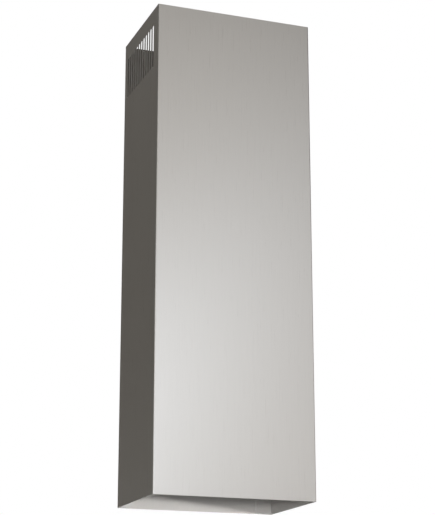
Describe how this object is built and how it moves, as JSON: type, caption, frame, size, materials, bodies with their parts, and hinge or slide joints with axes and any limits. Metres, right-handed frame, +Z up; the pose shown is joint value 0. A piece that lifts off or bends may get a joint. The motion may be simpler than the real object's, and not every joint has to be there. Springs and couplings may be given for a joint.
{
  "type": "cooker hood chimney section",
  "caption": "Tall rectangular chimney tube of brushed stainless sheet, open at both ends, with a row of upright air slots near the top of each side, to hide the duct above a cooker hood.",
  "frame": {"origin": "centre of the bottom opening, on the plane of the bottom rim", "axes": "+Z up along the chimney, +Y towards the wall side with the seam, so the plain front faces -Y; X is the width"},
  "size_m": [0.333, 0.232, 1],
  "materials": {
    "brushed_stainless": "satin stainless with a fine upright brushed grain"
  },
  "bodies": {
    "root": {"chimney_shell": "brushed_stainless"}
  },
  "joints": []
}
